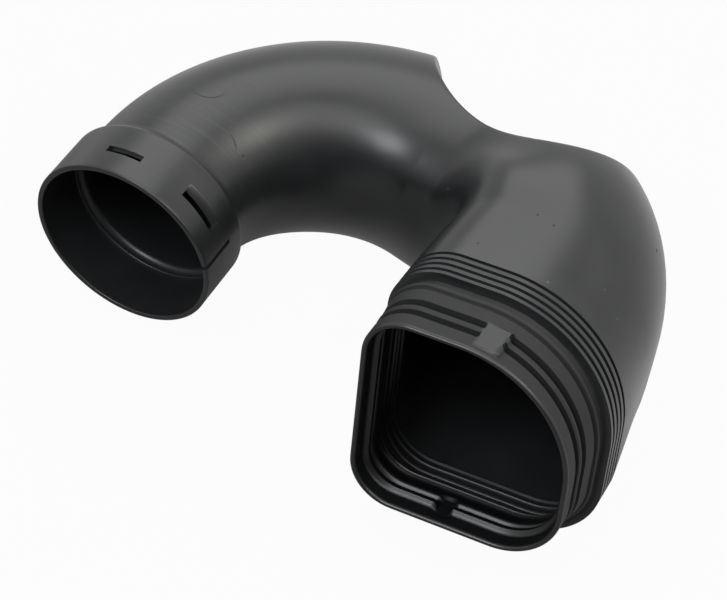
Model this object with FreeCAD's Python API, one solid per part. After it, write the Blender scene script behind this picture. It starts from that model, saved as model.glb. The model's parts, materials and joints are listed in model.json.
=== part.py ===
import FreeCAD, Part
import math
import os

from FreeCAD import Placement, Rotation, Vector

# Air intake hose, blow moulded in one piece. All sizes are in millimetres and degrees.
# It is drawn with the round collar's mouth at the origin facing -Y, then laid down as it rests.

# Round collar that pushes over a spigot and takes a band clamp
COLLAR_BORE = 80.0
COLLAR_WALL = 2.5
COLLAR_LENGTH = 30.0
STOP_DEPTH = 26.0
SHOULDER_ROUND = 3.0

# Locating slots through the collar: angles from the top towards the mouth end, distances from the edge
TOP_SLOT_START = -15.0
TOP_SLOT_END = 8.0
TOP_SLOT_NEAR = 11.0
TOP_SLOT_WIDTH = 3.2
SIDE_SLOT_START = 38.0
SIDE_SLOT_END = 66.0
SIDE_SLOT_NEAR = 9.9
SIDE_SLOT_WIDTH = 6.0

# Split in the collar's edge that lets the clamp draw it in
SPLIT_ANGLE = 82.0
SPLIT_WIDTH = 2.2
SPLIT_LENGTH = 19.0

# Moulded wall and the course of the duct from the collar to the ribbed end
WALL = 2.5
DUCT_START_DIAMETER = 77.0
LEAD_IN = 6.0
FIRST_BEND_RADIUS = 86.4
FIRST_BEND_HEADING = -5.9
FIRST_BEND_FALL = 9.6
MIDDLE_RUN = 12.6
SECOND_BEND_RADIUS = 70.8
MOUTH_HEADING = -87.7
MOUTH_RISE = 10.9
LAST_RUN = 33.1

# Section of the duct at the quarter points of its course: half sizes, offsets from the course and roll
QUARTER_HALF_WIDTHS = (41.4, 44.5, 45.3)
QUARTER_HALF_HEIGHTS = (42.6, 43.5, 53.2)
QUARTER_SIDE_SHIFTS = (-1.9, 0.4, 1.8)
QUARTER_LIFTS = (-1.3, 2.2, 9.8)
QUARTER_ROLLS = (-2.1, -4.3, 5.8)
ROUND_SHARE = 0.11

# D-shaped mouth, and the larger section of the same form where the ribs meet the body
RIM_WIDTH = 91.9
RIM_HEIGHT = 94.8
RIM_CORNERS = (19.8, 52.5, 28.2, 19.9)
BODY_WIDTH = 101.2
BODY_HEIGHT = 112.0
BODY_SIDE_SHIFT = 1.2
BODY_LIFT = -4.4

# Ribbed end, from the mouth inwards
FLANGE_LENGTH = 10.2
COARSE_GROOVE_WIDTH = 3.0
COARSE_GROOVE_DEPTH = 3.0
COARSE_RIB_WIDTH = 2.9
BAND_WIDTH = 6.9
SMALL_GROOVE_WIDTH = 1.7
SMALL_GROOVE_DEPTH = 1.8
THIN_RIDGE_WIDTH = 1.9
STEP_WIDTH = 5.6
STEP_DEPTH = 3.2
FINE_RIDGES = 4
FINE_RIDGE_WIDTH = 2.3
FINE_GROOVE_WIDTH = 1.1
FINE_GROOVE_DEPTH = 1.3
GROOVE_DRAFT = 0.3
BAND_FLARE = 0.3
RIDGE_FLARE = 0.5

# Inside, each groove stands out as a softer ridge
INSIDE_WIDENING = 0.6
INSIDE_FOLLOW = 0.6

# Hollow lugs on the rim, one on top and one below, as offsets along the mouth's width
LUG_WIDTH = 12.0
LUG_NEAR = 4.0
LUG_LENGTH = 16.0
LUG_RISE = 1.0
LUG_ROUND = 1.2
LUG_WALL = 2.0
TOP_LUG_OFFSET = 4.0
LOWER_LUG_OFFSET = -6.5

# Hollow scooped out of the back of the body: an upright cylinder, leaning
SCOOP_X = 136.0
SCOOP_Y = 193.2
SCOOP_RADIUS = 72.5
SCOOP_LEAN = -16.9

# Turns that lay the hose down as it comes to rest: about X, then about Y
REST_TURN_X = -2.2
REST_TURN_Y = -7.9

# Stations along the duct and points round each section
STATIONS = 11
RING_POINTS = 32

UP = Vector(0, 0, 1)
COLLAR_AXIS = Vector(0, 1, 0)
OVERLAP = 2.0


def direction(heading, rise):
    """Unit vector with a heading in the level plane, from +X, and a rise above it."""
    level = math.cos(math.radians(rise))
    turn = math.radians(heading)
    return Vector(level * math.cos(turn), level * math.sin(turn), math.sin(math.radians(rise)))


def straight(start, heading, length):
    """Length of a straight run, and its point and heading at any distance."""
    return length, lambda distance: (start + heading * distance, heading)


def bend(start, heading_in, heading_out, radius):
    """Length of a round bend, and its point and heading at any distance."""
    side = heading_out - heading_in * heading_in.dot(heading_out)
    side.normalize()

    def at(distance):
        turn = distance / radius
        point = start + heading_in * (radius * math.sin(turn)) + side * (radius * (1 - math.cos(turn)))
        return point, heading_in * math.cos(turn) + side * math.sin(turn)

    return radius * heading_in.getAngle(heading_out), at


def course():
    """Runs and bends of the duct from the collar's shoulder to the first rib."""
    middle = direction(FIRST_BEND_HEADING, -FIRST_BEND_FALL)
    outward = direction(MOUTH_HEADING, MOUTH_RISE)
    runs = [straight(COLLAR_AXIS * COLLAR_LENGTH, COLLAR_AXIS, LEAD_IN)]
    runs.append(bend(run_end(runs[-1]), COLLAR_AXIS, middle, FIRST_BEND_RADIUS))
    runs.append(straight(run_end(runs[-1]), middle, MIDDLE_RUN))
    runs.append(bend(run_end(runs[-1]), middle, outward, SECOND_BEND_RADIUS))
    runs.append(straight(run_end(runs[-1]), outward, LAST_RUN))
    return runs


def run_end(run):
    """Last point of a run."""
    length, at = run
    return at(length)[0]


def course_point(runs, share):
    """Point and heading at a share of the whole course."""
    distance = share * sum(length for length, at in runs)
    for length, at in runs[:-1]:
        if distance <= length:
            return at(distance)
        distance -= length
    return runs[-1][1](distance)


def section_axes(heading, roll=0.0):
    """Side and up directions of a section square to a heading, rolled about it."""
    up = UP - heading * UP.dot(heading)
    up.normalize()
    side = up.cross(heading)
    turn = math.radians(roll)
    return side * math.cos(turn) - up * math.sin(turn), side * math.sin(turn) + up * math.cos(turn)


def blend(values, share):
    """Smooth curve through evenly spaced values."""
    last = len(values) - 1
    slopes = [values[1] - values[0]]
    slopes += [(values[i + 1] - values[i - 1]) / 2 for i in range(1, last)]
    slopes.append(values[last] - values[last - 1])
    i = min(int(share * last), last - 1)
    t = share * last - i
    s = 1 - t
    return (s * s * (1 + 2 * t) * values[i] + t * s * s * slopes[i]
            + t * t * (1 + 2 * s) * values[i + 1] - t * t * s * slopes[i + 1])


def corner_reach(cosine, sine, half_width, half_height, corners):
    """Distance from the centre to the edge of a rounded four-sided outline, along a direction."""
    reach = min(half_width / max(abs(cosine), 1e-9), half_height / max(abs(sine), 1e-9))
    signs = ((-1, 1), (1, 1), (1, -1), (-1, -1))
    for (side, up), radius in zip(signs, corners):
        centre_x = half_width - radius
        centre_y = half_height - radius
        if side * cosine * reach > centre_x and up * sine * reach > centre_y:
            along = side * cosine * centre_x + up * sine * centre_y
            reach = along + math.sqrt(along ** 2 - centre_x ** 2 - centre_y ** 2 + radius ** 2)
    return reach


def body_corners():
    """Corner radii where the ribs meet the body: the rim's, grown with the width."""
    growth = (BODY_WIDTH - RIM_WIDTH) / 2
    return [radius + growth for radius in RIM_CORNERS]


def duct_ring(runs, share, inset):
    """Closed smooth section of the duct at a share of its course, inset from the outer face."""
    half_width = blend((DUCT_START_DIAMETER / 2, *QUARTER_HALF_WIDTHS, BODY_WIDTH / 2), share)
    half_height = blend((DUCT_START_DIAMETER / 2, *QUARTER_HALF_HEIGHTS, BODY_HEIGHT / 2), share)
    point, heading = course_point(runs, share)
    side, up = section_axes(heading, blend((0, *QUARTER_ROLLS, 0), share))
    centre = (point + side * blend((0, *QUARTER_SIDE_SHIFTS, BODY_SIDE_SHIFT), share)
              + up * blend((0, *QUARTER_LIFTS, BODY_LIFT), share))
    morph = max(0.0, (share - ROUND_SHARE) / (1 - ROUND_SHARE))
    morph = morph * morph * (3 - 2 * morph)
    points = []
    for k in range(RING_POINTS):
        angle = 2 * math.pi * k / RING_POINTS
        cosine = math.cos(angle)
        sine = math.sin(angle)
        reach = corner_reach(cosine, sine, BODY_WIDTH / 2, BODY_HEIGHT / 2, body_corners())
        x = cosine * (1 - morph + morph * reach / (BODY_WIDTH / 2))
        y = sine * (1 - morph + morph * reach / (BODY_HEIGHT / 2))
        points.append(centre + side * (x * (half_width - inset)) + up * (y * (half_height - inset)))
    curve = Part.BSplineCurve()
    shares = [k / RING_POINTS for k in range(RING_POINTS + 1)]
    curve.interpolate(Points=points, PeriodicFlag=True, Parameters=shares)
    return Part.Wire(curve.toShape())


def duct(inset, start, end):
    """Bent body between two distances beyond its ends, inset from the outer face."""
    runs = course()
    rings = [duct_ring(runs, i / (STATIONS - 1), inset) for i in range(STATIONS)]
    first = rings[0].copy()
    first.translate(COLLAR_AXIS * -start)
    last = rings[-1].copy()
    last.translate(direction(MOUTH_HEADING, MOUTH_RISE) * end)
    ends = [first] if start else []
    tail = [last] if end else []
    body = Part.makeLoft(ends + rings + tail, True, False)
    return body.cut(scoop(SCOOP_RADIUS + inset))


def scoop(radius):
    """Leaning cylinder that hollows the back of the body."""
    lean = math.radians(SCOOP_LEAN)
    axis = Vector(0, math.sin(lean), math.cos(lean))
    reach = 2 * (BODY_HEIGHT + SCOOP_RADIUS)
    foot = Vector(SCOOP_X, SCOOP_Y, 0) - axis * (reach / 2)
    return Part.makeCylinder(radius, reach, foot, axis)


def rib_length():
    """Length of the ribbed end."""
    fine = FINE_RIDGES * (FINE_RIDGE_WIDTH + FINE_GROOVE_WIDTH)
    coarse = FLANGE_LENGTH + 2 * COARSE_GROOVE_WIDTH + COARSE_RIB_WIDTH
    return coarse + BAND_WIDTH + SMALL_GROOVE_WIDTH + THIN_RIDGE_WIDTH + STEP_WIDTH + fine


def grooves():
    """Start, width and depth of each groove of the ribbed end, mouth first."""
    first = FLANGE_LENGTH
    second = first + COARSE_GROOVE_WIDTH + COARSE_RIB_WIDTH
    small = second + COARSE_GROOVE_WIDTH + BAND_WIDTH
    step = small + SMALL_GROOVE_WIDTH + THIN_RIDGE_WIDTH
    cuts = [(start, COARSE_GROOVE_WIDTH, COARSE_GROOVE_DEPTH) for start in (first, second)]
    cuts.append((small, SMALL_GROOVE_WIDTH, SMALL_GROOVE_DEPTH))
    cuts.append((step, STEP_WIDTH, STEP_DEPTH))
    for k in range(FINE_RIDGES):
        start = step + STEP_WIDTH + FINE_RIDGE_WIDTH + k * (FINE_RIDGE_WIDTH + FINE_GROOVE_WIDTH)
        cuts.append((start, FINE_GROOVE_WIDTH, FINE_GROOVE_DEPTH))
    return cuts


def flare(depth):
    """Growth from the rim's size (0) to the body's size (1) at a depth behind the mouth."""
    cuts = grooves()
    band_end = cuts[2][0]
    ridge_end = cuts[3][0]
    marks = [(0, 0), (FLANGE_LENGTH, 0), (band_end, BAND_FLARE), (ridge_end, RIDGE_FLARE)]
    marks += [(ridge_end + STEP_WIDTH, 1), (2 * rib_length(), 1)]
    for (z0, f0), (z1, f1) in zip(marks, marks[1:]):
        if depth <= z1:
            return f0 + (f1 - f0) * (depth - z0) / (z1 - z0) if depth > z0 else f0
    return 1


def mouth_axes():
    """Centre of the mouth, and its width, height and outward directions."""
    outward = direction(MOUTH_HEADING, MOUTH_RISE)
    side, up = section_axes(outward)
    return run_end(course()[-1]) + outward * rib_length(), side, up, outward


def outline(depth, cut):
    """D-shaped outline at a depth behind the mouth, cut below the flared surface."""
    centre, side, up, outward = mouth_axes()
    growth = flare(depth)
    half_width = (RIM_WIDTH + growth * (BODY_WIDTH - RIM_WIDTH)) / 2 - cut
    half_height = (RIM_HEIGHT + growth * (BODY_HEIGHT - RIM_HEIGHT)) / 2 - cut
    corners = [a + growth * (b - a) - cut for a, b in zip(RIM_CORNERS, body_corners())]
    middle = centre - outward * depth + side * (growth * BODY_SIDE_SHIFT) + up * (growth * BODY_LIFT)

    def place(x, y):
        return middle + side * x + up * y

    edges = []
    ends = []
    signs = ((-1, 1), (1, 1), (1, -1), (-1, -1))
    for (across, over), radius in zip(signs, corners):
        x = across * (half_width - radius)
        y = over * (half_height - radius)
        diagonal = radius * math.sqrt(0.5)
        level = place(x, y + over * radius)
        upright = place(x + across * radius, y)
        first, last = (upright, level) if across * over < 0 else (level, upright)
        edges.append(Part.Arc(first, place(x + across * diagonal, y + over * diagonal), last).toShape())
        ends.append((first, last))
    sides = [Part.makeLine(ends[k][1], ends[(k + 1) % 4][0]) for k in range(4)]
    return Part.Wire([edge for pair in zip(edges, sides) for edge in pair])


def ribbed_end(inset, widening, follow, near, far):
    """Ring stack of the ribbed end, from near the mouth to far inside the body."""
    stations = [(near, 0.0)]
    for start, width, depth in grooves():
        run = GROOVE_DRAFT + widening
        stations.append((start - widening, 0.0))
        stations.append((start - widening + run, depth * follow))
        stations.append((start + width + widening - run, depth * follow))
        stations.append((start + width + widening, 0.0))
    stations[-1] = (far, FINE_GROOVE_DEPTH * follow)
    return Part.makeLoft([outline(depth, inset + cut) for depth, cut in stations], True, True)


def lug_seat(offset, over):
    """Middle of a lug's seat on the rim, with the side and up directions of the rim there."""
    centre, side, up, outward = mouth_axes()
    radius = RIM_CORNERS[1]
    past = offset - (RIM_WIDTH / 2 - radius)
    tilt = math.asin(past / radius) if over > 0 and past > 0 else 0.0
    height = RIM_HEIGHT / 2 - radius * (1 - math.cos(tilt))
    seat = centre + side * offset + up * (over * height)
    return seat, side * math.cos(tilt) - up * math.sin(tilt), side * math.sin(tilt) + up * math.cos(tilt)


def lug(offset, over, inset):
    """Rounded block on the rim, on top or below, inset for its hollow."""
    seat, side, up = lug_seat(offset, over)
    inward = direction(MOUTH_HEADING, MOUTH_RISE) * -1
    width = LUG_WIDTH - 2 * inset
    length = LUG_LENGTH - 2 * inset
    height = COARSE_GROOVE_DEPTH + WALL + LUG_RISE
    block = Part.makeBox(width, length, height, Vector(-width / 2, LUG_NEAR + inset, LUG_RISE - inset - height))
    upright = [edge for edge in block.Edges if abs(edge.Vertexes[0].Z - edge.Vertexes[1].Z) > height / 2]
    block = block.makeFillet(LUG_ROUND, upright)
    turn = Rotation(side * over, inward, up * over, "ZYX")
    block.Placement = Placement(seat, turn).multiply(block.Placement)
    return block


def collar_outside():
    """Collar with its rounded shoulder, filled in."""
    radius = COLLAR_BORE / 2 + COLLAR_WALL
    body = Part.makeCylinder(radius, COLLAR_LENGTH, Vector(0, 0, 0), COLLAR_AXIS)
    shoulder = [edge for edge in body.Edges if abs(edge.BoundBox.YMin - COLLAR_LENGTH) < 1e-6]
    return body.makeFillet(SHOULDER_ROUND, shoulder)


def collar_slot(start, end, near, width):
    """Slot through the collar's wall between two angles from the top."""
    inner = COLLAR_BORE / 2 - OVERLAP
    outer = COLLAR_BORE / 2 + COLLAR_WALL + OVERLAP
    points = [(0, near, inner), (0, near, outer), (0, near + width, outer), (0, near + width, inner)]
    corners = [Vector(*point) for point in points]
    face = Part.Face(Part.makePolygon(corners + corners[:1]))
    face.rotate(Vector(0, 0, 0), COLLAR_AXIS, start)
    return face.revolve(Vector(0, 0, 0), COLLAR_AXIS, end - start)


def collar_split():
    """Narrow split in from the collar's edge."""
    height = COLLAR_WALL + 2 * OVERLAP
    corner = Vector(-SPLIT_WIDTH / 2, -OVERLAP, COLLAR_BORE / 2 - OVERLAP)
    block = Part.makeBox(SPLIT_WIDTH, SPLIT_LENGTH + OVERLAP, height, corner)
    block.rotate(Vector(0, 0, 0), COLLAR_AXIS, SPLIT_ANGLE)
    return block


def intake_hose():
    """The whole hose in its drawing position."""
    total = rib_length()
    places = ((TOP_LUG_OFFSET, 1), (LOWER_LUG_OFFSET, -1))
    ribs = ribbed_end(0, 0, 1, 0, total + OVERLAP)
    lugs = [lug(offset, over, 0) for offset, over in places]
    outside = collar_outside().multiFuse([duct(0, OVERLAP, 0), ribs] + lugs)

    bore = Part.makeCylinder(COLLAR_BORE / 2, STOP_DEPTH + OVERLAP, Vector(0, -OVERLAP, 0), COLLAR_AXIS)
    passage = duct(WALL, COLLAR_LENGTH - STOP_DEPTH + 2 * OVERLAP, 0)
    ridges = ribbed_end(WALL, INSIDE_WIDENING, INSIDE_FOLLOW, -OVERLAP, total + OVERLAP)
    hollows = [lug(offset, over, LUG_WALL) for offset, over in places]
    inside = bore.multiFuse([passage, ridges] + hollows)

    top_slot = collar_slot(TOP_SLOT_START, TOP_SLOT_END, TOP_SLOT_NEAR, TOP_SLOT_WIDTH)
    side_slot = collar_slot(SIDE_SLOT_START, SIDE_SLOT_END, SIDE_SLOT_NEAR, SIDE_SLOT_WIDTH)
    return outside.cut(inside).cut([top_slot, side_slot, collar_split()])


def rest_placement(shape):
    """Move that turns the hose to its rest and sets it on the ground, centred over the origin."""
    turn = Rotation(Vector(0, 1, 0), REST_TURN_Y).multiply(Rotation(Vector(1, 0, 0), REST_TURN_X))
    points = [turn.multVec(point) for point in shape.tessellate(0.1)[0]]
    low = [min(point[axis] for point in points) for axis in range(3)]
    high = [max(point[axis] for point in points) for axis in range(3)]
    return Placement(Vector(-(low[0] + high[0]) / 2, -(low[1] + high[1]) / 2, -low[2]), turn)


def main():
    hose = intake_hose()
    placement = rest_placement(hose)
    hose.Placement = placement.multiply(hose.Placement)
    os.makedirs("parts", exist_ok=True)
    hose.exportStep("parts/intake_hose.step")
    box = hose.BoundBox
    print("solids", len(hose.Solids), "valid", hose.isValid(), "volume", round(hose.Volume))
    print("size", round(box.XLength, 1), round(box.YLength, 1), round(box.ZLength, 1))
    print("collar mouth", placement.Base, "axis", placement.Rotation.multVec(COLLAR_AXIS * -1))
    centre, side, up, outward = mouth_axes()
    print("rib mouth", placement.multVec(centre), "axis", placement.Rotation.multVec(outward))


main()
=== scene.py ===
# %% [markdown]
# # Air intake hose
# This lesson dresses one moulded car part: a bent air duct with a round collar at one end and a
# ribbed, D-shaped mouth at the other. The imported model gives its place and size. The hose could keep
# that mesh, but it is made of flat triangles that show in soft reflections, so the shell is woven
# again as one closed net of rows and columns, dense where the moulding is fine.

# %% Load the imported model
import json
import math

import bmesh
import bpy
import numpy as np
from mathutils import Matrix, Vector


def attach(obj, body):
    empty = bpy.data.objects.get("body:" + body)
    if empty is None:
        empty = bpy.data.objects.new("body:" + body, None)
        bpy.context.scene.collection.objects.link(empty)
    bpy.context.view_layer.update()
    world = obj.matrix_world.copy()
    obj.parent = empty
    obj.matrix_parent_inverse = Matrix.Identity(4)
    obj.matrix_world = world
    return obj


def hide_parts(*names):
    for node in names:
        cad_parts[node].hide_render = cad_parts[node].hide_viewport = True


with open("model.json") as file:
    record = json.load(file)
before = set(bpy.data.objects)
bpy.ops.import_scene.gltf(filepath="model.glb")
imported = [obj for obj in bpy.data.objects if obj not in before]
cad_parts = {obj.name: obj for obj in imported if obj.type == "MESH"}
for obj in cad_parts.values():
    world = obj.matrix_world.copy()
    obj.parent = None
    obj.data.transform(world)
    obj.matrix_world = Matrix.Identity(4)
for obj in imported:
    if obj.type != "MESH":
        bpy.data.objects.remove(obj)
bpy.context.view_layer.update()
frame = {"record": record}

# %% [markdown]
# ## Where the hose lies
# The hose is drawn with the middle of its collar's mouth at zero, in millimetres, with the mouth
# looking along -Y. On the ground it leans a little, because it rests on the undersides of its bends.
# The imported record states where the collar's bore came to lie, and that point and the two rest turns
# carry every drawn point to its place.

# %% Placing drawn points
MM = 0.001
REST_TURN_X = -2.2
REST_TURN_Y = -7.9
COLLAR = next(mount for mount in frame["record"]["mounts"] if mount["name"] == "collar_bore")
COLLAR_MOUTH = (Vector(COLLAR["pos_m"])
                + Vector(COLLAR["axis"]).normalized() * COLLAR["dims"]["length_mm"] * MM / 2)
REST_TURN = (Matrix.Rotation(math.radians(REST_TURN_Y), 3, "Y")
             @ Matrix.Rotation(math.radians(REST_TURN_X), 3, "X"))
TURN = np.array(REST_TURN)


def placed(points):
    """Drawn points, in millimetres, as metres at rest."""
    return points * MM @ TURN.T + np.array(COLLAR_MOUTH)


print("collar mouth at", [round(value, 4) for value in COLLAR_MOUTH])

# %% [markdown]
# ## The course of the duct
# The air turns twice: away from the collar, and back towards the mouth. A chain of straight runs and
# round bends says where the middle of the duct goes, and a heading goes with every point. A Bezier
# curve could do this too, but runs and bends keep the radii that a mould maker would write down.

# %% Runs and bends
LEAD_IN = 6.0
FIRST_BEND_RADIUS = 86.4
MIDDLE_RUN = 12.6
SECOND_BEND_RADIUS = 70.8
LAST_RUN = 33.1
COLLAR_LENGTH = 30.0
COLLAR_AXIS = np.array([0.0, 1.0, 0.0])


def direction(heading, rise):
    """Unit vector with a heading from +X in the level plane and a rise above it, in degrees."""
    turn, lift = math.radians(heading), math.radians(rise)
    level = math.cos(lift)
    return np.array([level * math.cos(turn), level * math.sin(turn), math.sin(lift)])


MIDDLE = direction(-5.9, -9.6)
OUTWARD = direction(-87.7, 10.9)


def straight(start, heading, length):
    """A straight run: its length, and its point and heading at a distance."""
    return length, lambda distance: (start + heading * distance, heading)


def bend(start, heading_in, heading_out, radius):
    """A round bend: its length, and its point and heading at a distance."""
    cosine = heading_in @ heading_out
    side = heading_out - heading_in * cosine
    side = side / np.linalg.norm(side)

    def at(distance):
        turn = distance / radius
        point = start + heading_in * radius * math.sin(turn) + side * radius * (1 - math.cos(turn))
        return point, heading_in * math.cos(turn) + side * math.sin(turn)

    return radius * math.acos(cosine), at


def run_end(run):
    """Last point of a run."""
    return run[1](run[0])[0]


COURSE = [straight(COLLAR_AXIS * COLLAR_LENGTH, COLLAR_AXIS, LEAD_IN)]
COURSE.append(bend(run_end(COURSE[-1]), COLLAR_AXIS, MIDDLE, FIRST_BEND_RADIUS))
COURSE.append(straight(run_end(COURSE[-1]), MIDDLE, MIDDLE_RUN))
COURSE.append(bend(run_end(COURSE[-1]), MIDDLE, OUTWARD, SECOND_BEND_RADIUS))
COURSE.append(straight(run_end(COURSE[-1]), OUTWARD, LAST_RUN))
COURSE_LENGTH = sum(run[0] for run in COURSE)


def course_point(share):
    """Point and heading at a share of the whole course."""
    distance = share * COURSE_LENGTH
    for length, at in COURSE[:-1]:
        if distance <= length:
            return at(distance)
        distance -= length
    return COURSE[-1][1](distance)


def section_axes(heading, roll=0.0):
    """Side and up directions of a section square to a heading, rolled about it."""
    up = np.array([0.0, 0.0, 1.0]) - heading * heading[2]
    up = up / np.linalg.norm(up)
    side = np.cross(up, heading)
    turn = math.radians(roll)
    return (side * math.cos(turn) - up * math.sin(turn),
            side * math.sin(turn) + up * math.cos(turn))


print("course of the duct", round(COURSE_LENGTH, 1), "mm")

# %% [markdown]
# ## Columns round the hose
# Every row of the net has the same columns, so the whole hose is one grid that closes on itself. The
# columns are evenly spread, with a few more set exactly at the sides of the slots, the split and the
# lugs: an edge that lies on a column comes out straight and crisp.

# %% Column angles
# A slot has its first and last angle from the collar's top, and its near and far distance from the edge.
SLOTS = {"top": (-15.0, 8.0, 11.0, 14.2), "side": (38.0, 66.0, 9.9, 14.4)}
# How much further a slot's far wall lies outside than in the bore.
SLOT_SLANTS = {"top": 0.3, "side": 2.6}
SPLIT_ANGLE = 82.0
SPLIT_WIDTH = 2.2
SPLIT_LENGTH = 19.0
BORE_RADIUS = 40.0
COLLAR_RADIUS = 42.5
RIM_WIDTH = 91.9
RIM_HEIGHT = 94.8
LUG_WIDTH = 12.0
LUG_OFFSETS = {1: 4.0, -1: -6.5}
LUG_SOFT_ANGLE = 0.7
EVEN_COLUMNS = 164
LEAST_COLUMN_GAP = 0.6
EDGE_STEPS = (-LUG_SOFT_ANGLE, -0.25, 0.25, LUG_SOFT_ANGLE)


def collar_angle(from_top):
    """Column angle of a place on the collar, given from its top towards the D-shaped end."""
    return (90.0 + from_top) % 360


def lug_angles(over):
    """Column angles of the two sides of a lug, on top (1) or below (-1)."""
    sides = [LUG_OFFSETS[over] + across * LUG_WIDTH / 2 for across in (1, -1)]
    return [math.degrees(math.atan2(over * RIM_HEIGHT / 2, side)) % 360 for side in sides]


SPLIT_HALF = math.degrees(SPLIT_WIDTH / 2 / COLLAR_RADIUS)
EXACT = [collar_angle(angle) for slot in SLOTS.values() for angle in slot[:2]]
EXACT += [collar_angle(SPLIT_ANGLE + way * SPLIT_HALF) for way in (-1, 1)]
EXACT += [angle + step for over in LUG_OFFSETS for angle in lug_angles(over) for step in EDGE_STEPS]
EVEN = [360 * k / EVEN_COLUMNS for k in range(EVEN_COLUMNS)]
EVEN = [angle for angle in EVEN if all(abs(angle - exact) > LEAST_COLUMN_GAP for exact in EXACT)]
COLUMNS = np.array(sorted(EVEN + EXACT))
COSINE, SINE = np.cos(np.radians(COLUMNS)), np.sin(np.radians(COLUMNS))
print(len(COLUMNS), "columns")

# %% [markdown]
# ## The section of the duct
# The duct leaves the collar round and grows into a rounded D. Half sizes, offsets and a small roll
# are given at the quarter points of the course, and a smooth curve runs through them. The back of the
# body is scooped out to clear a neighbour in the engine bay: points inside a leaning cylinder are
# pushed out to its face, softly, so that the edge has the small round of blown plastic.

# %% Sections
TINY = 1e-9
WALL = 2.5
DUCT_START_RADIUS = 38.5
HALF_WIDTHS = (DUCT_START_RADIUS, 41.4, 44.5, 45.3, 50.6)
HALF_HEIGHTS = (DUCT_START_RADIUS, 42.6, 43.5, 53.2, 56.0)
SIDE_SHIFTS = (0, -1.9, 0.4, 1.8, 1.2)
LIFTS = (0, -1.3, 2.2, 9.8, -4.4)
ROLLS = (0, -2.1, -4.3, 5.8, 0)
ROUND_SHARE = 0.11
RIM_CORNERS = np.array([19.8, 52.5, 28.2, 19.9])
BODY_WIDTH, BODY_HEIGHT = 2 * HALF_WIDTHS[-1], 2 * HALF_HEIGHTS[-1]
BODY_CORNERS = RIM_CORNERS + (BODY_WIDTH - RIM_WIDTH) / 2
SCOOP_FOOT = np.array([136.0, 193.2, 0.0])
SCOOP_RADIUS = 72.5
SCOOP_LEAN = math.radians(-16.9)
SCOOP_ROUND = 0.8


def blend(values, share):
    """Smooth curve through evenly spaced values."""
    last = len(values) - 1
    slopes = np.gradient(np.array(values, float))
    i = min(int(share * last), last - 1)
    t = share * last - i
    s = 1 - t
    return (s * s * (1 + 2 * t) * values[i] + t * s * s * slopes[i]
            + t * t * (1 + 2 * s) * values[i + 1] - t * t * s * slopes[i + 1])


def corner_reach(half_width, half_height, corners):
    """Distance from the centre to a rounded four-sided outline, along every column."""
    reach = np.minimum(half_width / np.maximum(abs(COSINE), TINY),
                       half_height / np.maximum(abs(SINE), TINY))
    for (across, over), radius in zip(((-1, 1), (1, 1), (1, -1), (-1, -1)), corners):
        x, y = half_width - radius, half_height - radius
        in_corner = (across * COSINE * reach > x) & (over * SINE * reach > y)
        along = across * COSINE * x + over * SINE * y
        root = np.sqrt(np.maximum(along ** 2 - x * x - y * y + radius ** 2, 0))
        reach = np.where(in_corner, along + root, reach)
    return reach


def scooped(points, inset):
    """Points with the scoop's cylinder pressed into them."""
    axis = np.array([0.0, math.sin(SCOOP_LEAN), math.cos(SCOOP_LEAN)])
    offset = points - SCOOP_FOOT
    along = (offset @ axis)[:, None] * axis
    across = offset - along
    distance = np.linalg.norm(across, axis=1)
    radius = SCOOP_RADIUS + inset
    pushed = radius + SCOOP_ROUND * np.logaddexp(0, (distance - radius) / SCOOP_ROUND)
    return SCOOP_FOOT + along + across * (pushed / distance)[:, None]


BODY_REACH = corner_reach(BODY_WIDTH / 2, BODY_HEIGHT / 2, BODY_CORNERS)


def duct_row(share, inset):
    """One row round the duct at a share of its course, inset from the outer face."""
    point, heading = course_point(share)
    side, up = section_axes(heading, blend(ROLLS, share))
    centre = point + side * blend(SIDE_SHIFTS, share) + up * blend(LIFTS, share)
    morph = max(0.0, (share - ROUND_SHARE) / (1 - ROUND_SHARE))
    morph = morph * morph * (3 - 2 * morph)
    x = COSINE * (1 - morph + morph * BODY_REACH / (BODY_WIDTH / 2))
    y = SINE * (1 - morph + morph * BODY_REACH / (BODY_HEIGHT / 2))
    x = x * (blend(HALF_WIDTHS, share) - inset)
    y = y * (blend(HALF_HEIGHTS, share) - inset)
    return scooped(centre + x[:, None] * side + y[:, None] * up, inset)


print("body section", BODY_WIDTH, "by", BODY_HEIGHT, "mm")

# %% [markdown]
# ## The ribbed end
# From the mouth inwards there is a plain rim, two coarse grooves with a rib between them, a flat band,
# a thin ridge, a step up to the body's size and four fine ridges. Blown plastic can't hold a sharp
# corner, so each groove is a window with soft sides. Inside, the wall follows with softer ridges. The
# fine ridges repeat at one pitch, so they are left to a node tree below.

# %% Rows of the ribbed end
FLANGE = 8.6
GROOVE_WIDTH = 3.0
GROOVE_DEPTH = 3.6
RIB_WIDTH = 3.2
BAND_WIDTH = 6.9
SMALL_GROOVE_WIDTH = 1.7
SMALL_GROOVE_DEPTH = 2.0
THIN_RIDGE = 1.9
STEP_WIDTH = 4.5
STEP_DEPTH = 3.6
FINE_RIDGES = 4
FINE_RIDGE_WIDTH = 2.3
FINE_GROOVE_WIDTH = 1.7
FINE_GROOVE_DEPTH = 1.7
FINE_PITCH = FINE_RIDGE_WIDTH + FINE_GROOVE_WIDTH
SECOND_GROOVE = FLANGE + GROOVE_WIDTH + RIB_WIDTH
BAND_END = SECOND_GROOVE + GROOVE_WIDTH + BAND_WIDTH
STEP_START = BAND_END + SMALL_GROOVE_WIDTH + THIN_RIDGE
FINE_START = STEP_START + STEP_WIDTH
RIB_LENGTH = FINE_START + FINE_RIDGES * FINE_PITCH
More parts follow.
